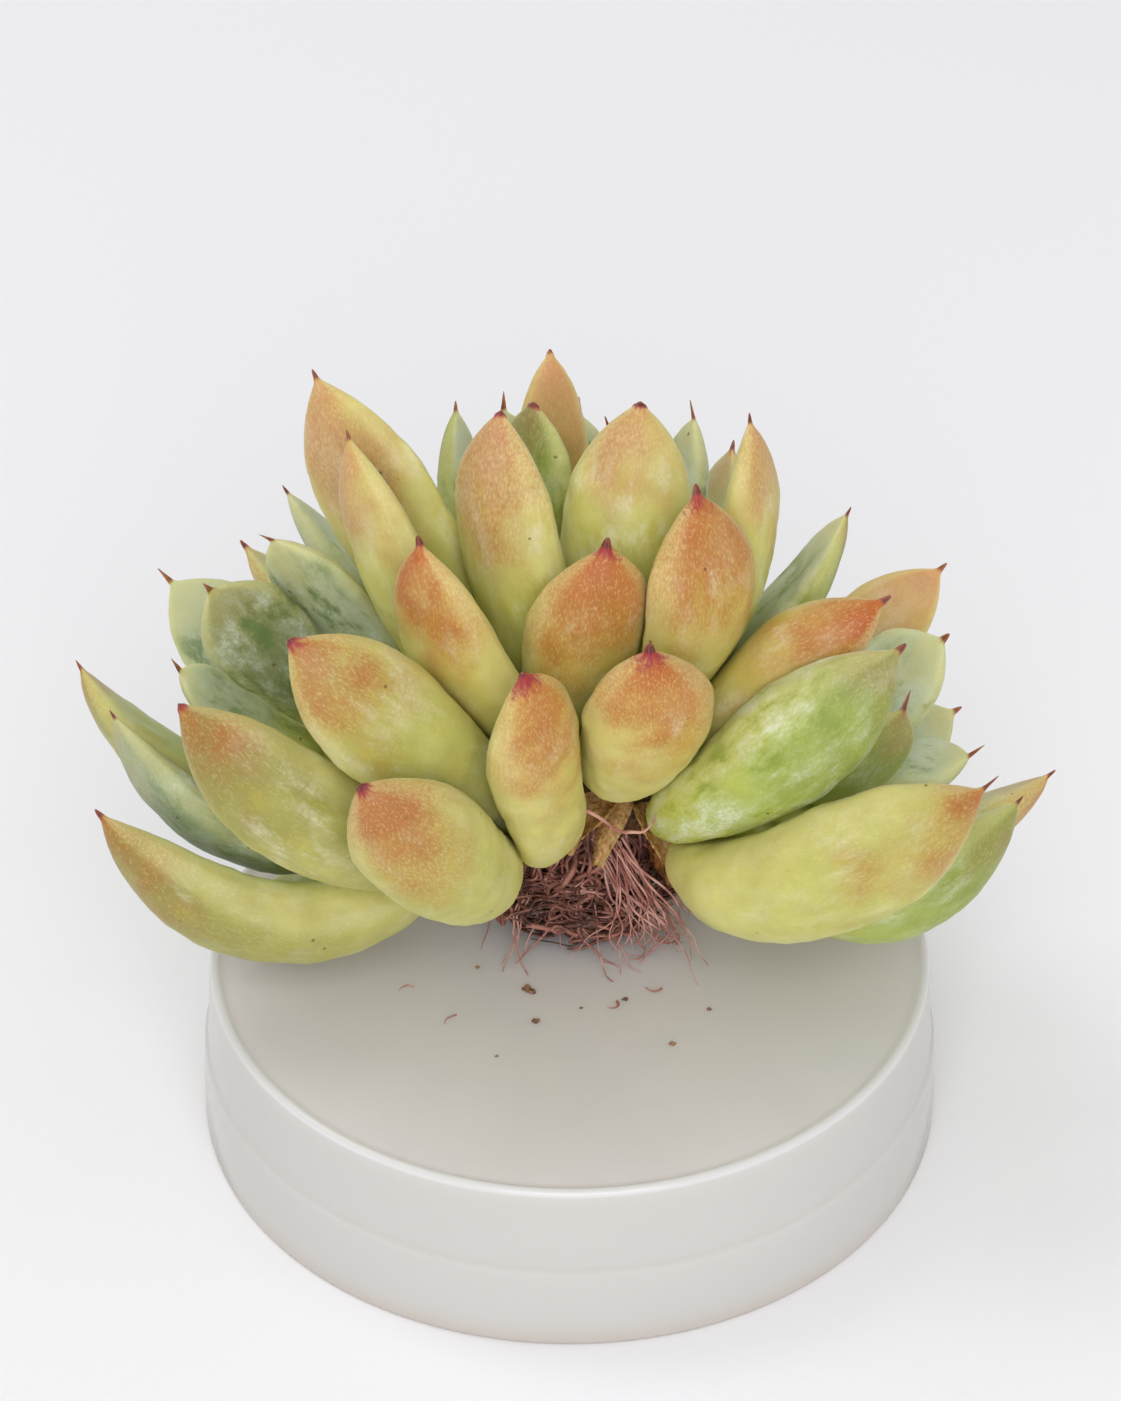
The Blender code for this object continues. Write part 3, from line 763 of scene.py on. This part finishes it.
# %% Join the scraps
scraps = [scrap(*row) for row in SCRAPS]
for piece in scraps:
    piece.select_set(True)
bpy.context.view_layer.objects.active = scraps[0]
bpy.ops.object.join()
old_leaves = bpy.context.object
old_leaves.name = "stem_scraps"
old_leaves.data.materials.append(paper_skin)
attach(old_leaves, "root")
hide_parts("stem")
print("scraps:", len(SCRAPS), "faces:", len(old_leaves.data.polygons))

# %% [markdown]
# ## The roots
#
# The roots are hundreds of fine threads that leave the stem, curl over each other in a flat
# cushion and hang down to the stand, with deep shade in the gaps. The shade is painted on a dark
# brown core, a shrunken, rough copy of the solid. Each thread is a curve that wanders over the
# cushion's shell, and all the threads of one tint are turned into one mesh.

# %% Root cushion
low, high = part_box("root_ball")
ball_middle = (low + high) / 2
ball_size = (high - low) / 2
BEAD = 0.45 * MM  # how far the stand's rim stands up above its top
stand_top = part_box("stand")[1].z - BEAD

# a dark brown core under the threads: painted shade for the deep gaps of the tangle
shade_core = merged_copy("root_ball", "root_shade_core")
only(shade_core)
bpy.ops.object.mode_set(mode="EDIT")
bpy.ops.mesh.select_all(action="SELECT")
bpy.ops.transform.resize(value=(0.80, 0.80, 0.82), center_override=ball_middle)
bpy.ops.object.mode_set(mode="OBJECT")
apply_modifier(shade_core, "SUBSURF", levels=3, render_levels=3)
roughen(shade_core, 1.3 * MM, 0.7 * MM)

shade_core_finish, tree, shader = new_finish("root_shade_core")
place = object_place(tree)
core_mottle = speckle(tree, place, 1500, 5.0, 0.7)
# painted shade: dark brown mottle that stands for the shade between the threads
colour = blend(tree, between(tree, core_mottle, 0.35, 0.7), tint("2A1812"), tint("7A4C3C"))
join(tree, colour, shader, "Base Color")
join(tree, bumps(tree, core_mottle, 0.5 * MM), shader, "Normal")
shader.inputs["Roughness"].default_value = 0.9
shade_core.data.materials.append(shade_core_finish)


# %% Paths over the cushion
chance = random.Random(11)
STRIDE = 0.125  # how far a thread turns round the cushion from one point to the next
print("cushion:", [round(c / MM, 1) for c in ball_middle], [round(c / MM, 1) for c in ball_size])


def on_cushion(polar, turn, shell):
    """A point on a shell of the cushion. Polar runs from top to bottom, and turn goes round."""
    flat = math.sin(polar) ** 0.6
    clump = noise.noise(Vector((2.2 * math.cos(turn), 2.2 * math.sin(turn), 1.7 * polar)))
    shell += 0.22 * clump
    return ball_middle + Vector((
        ball_size.x * 0.93 * shell * flat * math.cos(turn),
        ball_size.y * 0.93 * shell * flat * math.sin(turn),
        ball_size.z * (0.55 + 0.45 * shell) * math.cos(polar),
    ))


def wander(turn, polar, count, heading, shell):
    """A thread that walks over the cushion, mostly the way it heads, and curls."""
    path = []
    curl = chance.gauss(0, 0.5)
    for _ in range(count):
        path.append(on_cushion(polar, turn, shell))
        heading += curl + chance.gauss(0, 0.65)
        shell += chance.gauss(0, 0.06) + (0.98 - shell) * 0.12
        polar = min(max(polar + STRIDE * math.cos(heading), 0.12), 2.75)
        turn += STRIDE * math.sin(heading) / max(math.sin(polar), 0.35)
    return path


# %% Paths from the stem
STEM_FOOT = Vector((1.5, 5.0, 0)) * MM


def climb(turn, polar):
    """The first stretch of a thread, from the bark of the stem out and down to the cushion."""
    start = on_cushion(polar, turn, 1.0)
    out = Vector((math.cos(turn), math.sin(turn), 0))
    side = Vector((-out.y, out.x, 0))
    top = STEM_FOOT + out * chance.uniform(3.4, 4.6) * MM
    top.z = stand_top + chance.triangular(9.5, 19.0, 12.5) * MM
    bulge = chance.uniform(0.2, 2.4)
    path = []
    for share in (0, 0.2, 0.4, 0.6, 0.8):
        bend = side * chance.gauss(0, 1.1) + out * bulge * math.sin(math.pi * share)
        path.append(top.lerp(start, share) + bend * MM)
    return path


# %% Threads from paths
def threads(name, paths, thickness, finish):
    """Turns paths into one mesh of tapering threads."""
    curve = bpy.data.curves.new(name, "CURVE")
    curve.dimensions = "3D"
    curve.bevel_depth = MM
    curve.bevel_resolution = 0
    curve.resolution_u = 3
    curve.use_fill_caps = True
    for path in paths:
        spline = curve.splines.new("NURBS")
        spline.points.add(len(path) - 1)
        spline.use_endpoint_u = True
        spline.order_u = 4
        size = chance.uniform(*thickness)
        for i, (spot, point) in enumerate(zip(spline.points, path)):
            spot.co = (*point, 1.0)
            spot.radius = size * (1 - 0.65 * (i / (len(path) - 1)) ** 2) * chance.uniform(0.75, 1.2)
    piece = bpy.data.objects.new(name, curve)
    bpy.context.collection.objects.link(piece)
    only(piece)
    bpy.ops.object.convert(target="MESH")
    piece = bpy.context.object
    bpy.ops.object.shade_smooth()
    piece.data.materials.clear()
    piece.data.materials.append(finish)
    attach(piece, "root")
    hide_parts("root_ball")
    print(name, len(paths), "threads", len(piece.data.polygons), "faces")


# %% Root colours
def root_finish(name, dark, pale):
    """Thin, dry skin of a root, in a dark and a pale tint."""
    material, tree, shader = new_finish(name)
    place = object_place(tree)
    wide = speckle(tree, place, 420, 2.0)
    fine = speckle(tree, place, 3500, 3.0)
    colour = blend(tree, between(tree, wide, 0.36, 0.64), dark, pale)
    colour = blend(tree, between(tree, fine, 0.45, 0.75, 0.0, 0.35), colour, tint("C89C90"))
    join(tree, colour, shader, "Base Color")
    join(tree, bumps(tree, fine, 0.08 * MM, 0.7), shader, "Normal")
    shader.inputs["Roughness"].default_value = 0.62
    shader.inputs["Subsurface Weight"].default_value = 0.15
    shader.inputs["Subsurface Radius"].default_value = (1.0, 0.5, 0.4)
    shader.inputs["Subsurface Scale"].default_value = 0.4 * MM
    return material


mauve = root_finish("mauve_root", tint("5E3228"), tint("A46C5E"))
brown = root_finish("brown_root", tint("3A1E16"), tint("6C4030"))
pink = root_finish("pink_root", tint("9E6258"), tint("D2A094"))


# %% Kinds of root
def tangle(count, steps, from_stem, shell):
    """Threads that wander over the cushion, some of them from the stem on."""
    made = []
    for _ in range(count):
        turn = chance.uniform(0, math.tau)
        polar = chance.uniform(0.35, 0.8) if from_stem else chance.uniform(0.5, 2.3)
        heading = chance.gauss(0, 0.5) if from_stem else chance.uniform(-math.pi, math.pi)
        path = climb(turn, polar) if from_stem else []
        path += wander(turn, polar, chance.randint(*steps), heading, chance.uniform(*shell))
        made.append(path)
    return made


# %% Stray threads
def strays(count):
    """Threads that leave the cushion near its foot and lie on the stand."""
    made = []
    for _ in range(count):
        turn = chance.choice((chance.gauss(-1.15, 0.5), chance.uniform(0, math.tau)))
        path = [on_cushion(p, turn, 1.0) for p in (1.0, 1.35, 1.7)]
        spot = path[-1].copy()
        way = turn + chance.gauss(0, 0.5)
        for _ in range(chance.randint(2, 6)):
            way += chance.gauss(0, 0.5)
            spot = spot + Vector((math.cos(way), math.sin(way), 0)) * 0.8 * MM
            spot.z = max(stand_top + 0.15 * MM, spot.z - chance.uniform(0.3, 1.4) * MM)
            path.append(spot)
        made.append(path)
    return made


# %% Hanging and fallen threads
BULGE = Vector((1.2, -0.8, 0))  # how far the hanging threads swing out half way down


def fan(count):
    """Threads that hang from the right of the stem and spread as they fall to the stand."""
    made = []
    for _ in range(count):
        first = Vector(
            (chance.uniform(2.5, 6.0), chance.uniform(-1.5, 0.5), chance.uniform(30, 34.5))
        )
        last = Vector(
            (chance.uniform(6.0, 11.5), chance.uniform(-4.0, -1.0), stand_top / MM + 0.3)
        )
        drift = Vector((0, 0, 0))
        path = []
        for k in range(9):
            share = k / 8
            drift += Vector((chance.gauss(0, 1.0), chance.gauss(0, 0.65), 0)) * (0.4 + share)
            swing = BULGE * math.sin(math.pi * share)
            spot = first.lerp(last, share) + drift + swing
            spot.z = first.z + (last.z - first.z) * share**0.85
            path.append(spot * MM)
        made.append(path[: chance.randint(6, 9)])
    return made


def dropped(spots):
    """Short broken threads that lie curled on the stand."""
    made = []
    for x, y in spots:
        way, turn = chance.uniform(0, math.tau), chance.choice((-0.5, 0.5))
        spot = Vector((x, y, stand_top / MM + 0.14))
        path = []
        for _ in range(6):
            path.append(spot * MM)
            way += turn + chance.gauss(0, 0.25)
            spot = spot + Vector((math.cos(way), math.sin(way), 0)) * 0.42
        made.append(path)
    return made


# %% Make the roots
# one long pale thread curls out in front of the stem, and turns up at its end
CURL = (
    (-1.5, -4.0, 41.0), (1.0, -5.0, 41.0), (2.4, -5.5, 40.6),
    (3.8, -5.6, 39.4), (5.0, -5.6, 38.2), (6.3, -5.6, 38.5),
    (7.4, -5.6, 38.1), (8.3, -5.5, 39.4), (9.0, -5.5, 41.8),
)
DROPPED = ((-16.0, -6.2), (4.8, -8.4), (9.4, -6.4), (-11.5, -10.5), (-1.5, 20.5), (16.0, 6.0))

inner = tangle(110, (14, 26), False, (0.78, 0.96))
threads("roots_brown", inner, (0.16, 0.34), brown)
outer = tangle(110, (6, 16), True, (0.92, 1.08)) + tangle(70, (8, 20), False, (0.94, 1.08))
threads("roots_mauve", outer, (0.15, 0.34), mauve)
fine = tangle(40, (6, 14), True, (0.98, 1.12)) + strays(36) + fan(30) + dropped(DROPPED)
threads("roots_fine", fine, (0.09, 0.20), pink)
threads("root_curl", [[Vector(place) * MM for place in CURL]], (0.27, 0.30), pink)
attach(shade_core, "root")
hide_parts("root_ball")
# the core of painted shade
print("soil:", len(shade_core.data.polygons), "faces")

# %% [markdown]
# ## Crumbs
#
# A few crumbs of soil and broken root have fallen on the stand. Each is a small ball, pulled out
# of round and pushed in and out by a noise until it is a lump. They are set down one by one,
# since they lie near the roots they fell from.

# %% Crumbs on the stand
# place on the stand and radius of each crumb, in millimetres
CRUMBS = (
    (-4.4, -6.5, 0.40), (-3.9, -6.9, 0.28), (-3.5, -11.5, 0.28),
    (5.6, -8.1, 0.22), (10.3, -15.0, 0.24), (-9.5, -3.0, 0.20),
    (1.2, -9.4, 0.17), (14.2, -9.6, 0.18), (-7.4, -16.8, 0.16),
)
crumbs = []
for x, y, size in CRUMBS:
    spot = (x * MM, y * MM, stand_top + 0.6 * size * MM)
    bpy.ops.mesh.primitive_ico_sphere_add(subdivisions=3, radius=size * MM, location=spot)
    crumb = bpy.context.object
    bpy.ops.transform.resize(value=(chance.uniform(0.9, 1.7), chance.uniform(0.7, 1.1), 0.75))
    bpy.ops.object.transform_apply(location=True, rotation=True, scale=True)
    roughen(crumb, 0.35 * MM, 0.7 * size * MM)
    crumbs.append(crumb)
for crumb in crumbs:
    crumb.select_set(True)
bpy.context.view_layer.objects.active = crumbs[0]
bpy.ops.object.join()
grit = bpy.context.object
grit.name = "root_crumbs"
bpy.ops.object.shade_smooth()
grit.data.materials.append(root_finish("crumb", tint("5A3A2A"), tint("9A7458")))
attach(grit, "root")
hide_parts("root_ball")
print("crumbs:", len(CRUMBS), "faces:", len(grit.data.polygons))

# %% [markdown]
# ## The dried leaf
#
# One old leaf has dried to a brown, papery scrap that still hangs on the stem. Its solid is
# rounded like the other leaves, then shrivelled by a noise that runs along it, and its colour
# follows the creases.

# %% Dried leaf
papery, tree, shader = new_finish("dried_leaf")
place = object_place(tree)
creases = speckle(tree, stretched(tree, place, (3.0, 3.0, 0.6)), 900, 5.0, 0.6)
colour = blend(tree, between(tree, creases, 0.32, 0.68), tint("5A2C0C"), tint("B87A3A"))
join(tree, colour, shader, "Base Color")
join(tree, bumps(tree, creases, 0.35 * MM), shader, "Normal")
shader.inputs["Roughness"].default_value = 0.5
shader.inputs["Subsurface Weight"].default_value = 0.2
shader.inputs["Subsurface Scale"].default_value = 0.8 * MM

dry = merged_copy("dry_leaf", "dried_leaf")
dissolve_slanting_edges(dry, leaf_rings(dry.data)[1])
apply_modifier(dry, "SUBSURF", levels=3, render_levels=3)
roughen(dry, 1.6 * MM, 0.55 * MM, np.array((1.6, 1.6, 0.6)))
dry.data.materials.append(papery)
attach(dry, "root")
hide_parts("dry_leaf")
print("dried leaf:", len(dry.data.polygons), "faces")

# %% [markdown]
# ## The stand
#
# The stand is a turned disc of milky plastic with a polished top, a raised bead round it, a
# faint step half way down its wall, and a soft edge at its foot. The solid has flat facets, so
# it is turned again here from a circle of many points: each line of the profile is one extrude
# and one resize, as on a lathe, and small bevels catch the light.

# %% Turn the stand
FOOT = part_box("stand")[1].x - 0.02 * MM  # radius at the foot
TOP = 37.2 * MM  # radius at the top
HEIGHT = stand_top
FIRST = FOOT - 0.6 * MM  # radius of the flat underside
PROFILE = (
    (FOOT - 0.15 * MM, 0.12 * MM),
    (FOOT, 0.55 * MM),
    (TOP + 1.02 * MM, 9.0 * MM),
    (TOP + 0.95 * MM, 9.3 * MM),
    (TOP + 0.72 * MM, 9.6 * MM),
    (TOP + 0.66 * MM, 9.9 * MM),
    (TOP + 0.05 * MM, HEIGHT - 0.7 * MM),
    (TOP, HEIGHT - 0.25 * MM),
    (TOP - 0.12 * MM, HEIGHT + 0.15 * MM),
    (TOP - 0.35 * MM, HEIGHT + 0.40 * MM),
    (TOP - 0.65 * MM, HEIGHT + BEAD),
    (TOP - 0.95 * MM, HEIGHT + 0.36 * MM),
    (TOP - 1.20 * MM, HEIGHT + 0.12 * MM),
    (TOP - 1.45 * MM, HEIGHT + 0.02 * MM),
    (TOP - 1.9 * MM, HEIGHT),
    (TOP * 0.7, HEIGHT),
    (TOP * 0.35, HEIGHT),
    (TOP * 0.1, HEIGHT),
)

bpy.ops.object.select_all(action="DESELECT")
bpy.ops.mesh.primitive_circle_add(vertices=160, radius=FIRST, fill_type="NGON")
stand = bpy.context.object
stand.name = "stand_disc"
bpy.ops.object.mode_set(mode="EDIT")
bpy.ops.mesh.select_all(action="SELECT")
last_radius, last_height = FIRST, 0.0
for radius, height in PROFILE:
    rise = (0, 0, height - last_height)
    bpy.ops.mesh.extrude_region_move(TRANSFORM_OT_translate={"value": rise})
    size = radius / last_radius
    bpy.ops.transform.resize(value=(size, size, 1), center_override=(0, 0, height))
    last_radius, last_height = radius, height
bpy.ops.mesh.select_all(action="SELECT")
bpy.ops.mesh.normals_make_consistent(inside=False)
bpy.ops.object.mode_set(mode="OBJECT")
bpy.ops.object.shade_smooth_by_angle(angle=math.radians(50))

# %% Milky plastic
milky, tree, shader = new_finish("milky_plastic")
place = object_place(tree)
up = wire(tree, "SeparateXYZ", {"Vector": place}).outputs["Z"]
clouds = speckle(tree, place, 60, 3.0)
dust = speckle(tree, place, 2600, 2.0)
# painted light: the lowest 3 mm of the wall are warmer, a glow where light gathers in the milky
# plastic at its foot
wall = blend(tree, between(tree, up, 0.0, 3.0 * MM), tint("CCC2B8"), tint("CCCAC6"))
# the top, the bead and the wall are one plastic, yet each has its own tint: painted light and
# shade, set by how each face is lit
top_colour = blend(tree, clouds, tint("D7D4D5"), tint("DDDADC"))
on_top = between(tree, up, HEIGHT - 0.3 * MM, HEIGHT + 0.05 * MM)
on_bead = between(tree, up, HEIGHT + 0.1 * MM, HEIGHT + 0.4 * MM)
colour = blend(tree, on_top, wall, top_colour)
colour = blend(tree, on_bead, colour, tint("D4D4D4"))
colour = blend(tree, between(tree, dust, 0.72, 0.78, 0.0, 0.4), colour, tint("F4F2EE"))
join(tree, colour, shader, "Base Color")
scratches = speckle(tree, stretched(tree, place, (1.0, 8.0, 1.0)), 500, 2.0)
join(tree, between(tree, scratches, 0.3, 0.7, 0.16, 0.24), shader, "Roughness")
join(tree, bumps(tree, clouds, 0.10 * MM, 0.3), shader, "Normal")
shader.inputs["Subsurface Weight"].default_value = 0.5
shader.inputs["Subsurface Radius"].default_value = (1.0, 0.95, 0.88)
shader.inputs["Subsurface Scale"].default_value = 5 * MM
stand.data.materials.append(milky)
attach(stand, "root")
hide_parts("stand")
print("stand:", len(stand.data.polygons), "faces")
